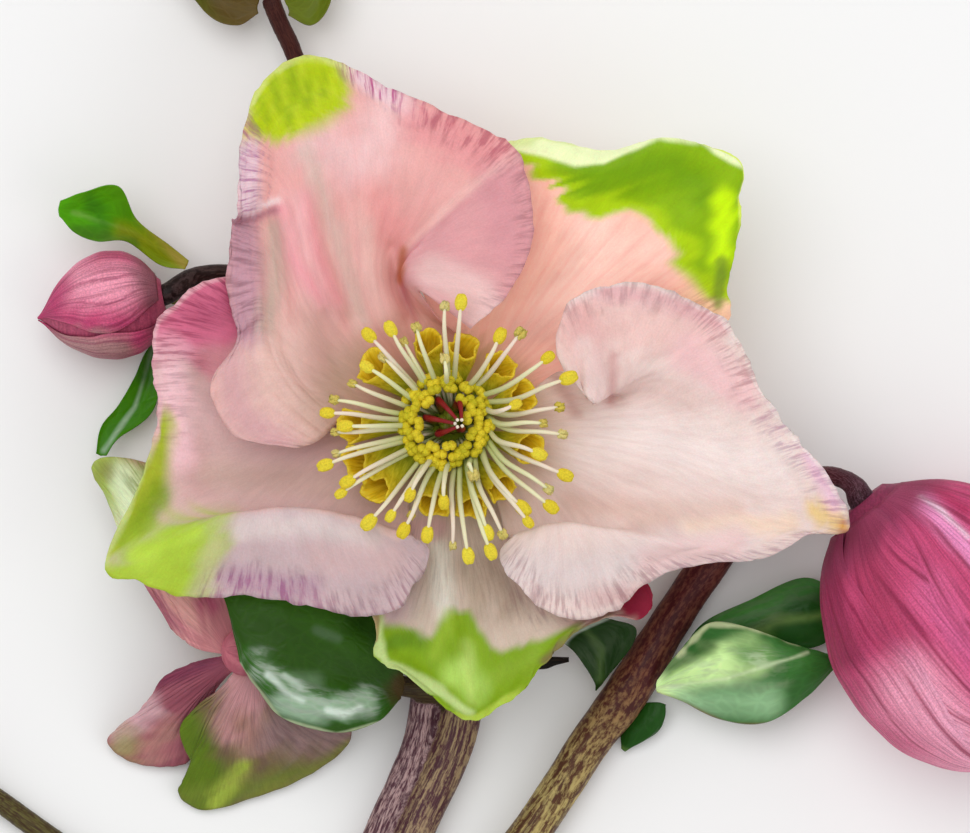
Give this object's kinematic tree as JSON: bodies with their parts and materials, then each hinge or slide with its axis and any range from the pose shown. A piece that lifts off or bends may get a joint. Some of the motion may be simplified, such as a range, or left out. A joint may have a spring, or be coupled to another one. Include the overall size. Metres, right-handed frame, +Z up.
{
  "type": "hellebore flowering stem",
  "caption": "Cut hellebore stem lying on a surface, with an open flower facing up, a side flower facing down, nodding buds and leafy bracts on forked stalks.",
  "frame": {"origin": "middle of the small flat spot under the stem, straight below the open flower's centre, on the surface that the stem lies on", "axes": "+Z up from the surface, towards the side that the open flower faces; -Y towards the stem's cut end; +X to the right as seen with the cut end nearest"},
  "size_m": [0.1349, 0.157, 0.0268],
  "materials": {
    "sepal": "fresh petal-like sepal, cream to pale pink with a pink rim and green tips, satin",
    "side_sepal": "outside of a sepal, dusky pink with olive green towards the point, satin",
    "bud": "magenta pink bud with dark veins and a pale bloom, satin",
    "nectary": "yellow-green nectary cup, slightly glossy",
    "anther": "yellow pollen on pale filaments, matte",
    "style": "dark red styles with white stigmas",
    "bract": "leathery dark green leaf with paler veins, semi-gloss",
    "dry_bract": "withered, almost black, matte",
    "stem": "fleshy stem, purple-brown mottled with olive and cream flecks"
  },
  "bodies": {
    "root": {"sepal_top_left": "sepal", "sepal_top_right": "sepal", "sepal_right": "sepal", "sepal_bottom": "sepal", "sepal_left": "sepal", "nectaries": "nectary", "stamens": "anther", "side_flower_centre": "anther", "carpels": "style", "side_sepal_up_left": "side_sepal", "side_sepal_left": "side_sepal", "side_sepal_down": "side_sepal", "side_sepal_right": "side_sepal", "side_sepal_up": "side_sepal", "bud_right": "bud", "bud_left": "bud", "bud_top": "bud", "bud_low": "bud", "bract_centre": "bract", "bract_right_front": "bract", "bract_right_back": "bract", "bract_right_left": "bract", "bract_right_low": "bract", "bract_left_upper": "bract", "bract_left_small": "bract", "bract_left_lower": "bract", "bract_top_left": "bract", "bract_top_right": "bract", "bract_low": "bract", "bract_dry": "dry_bract", "stem": "stem"}
  },
  "joints": []
}
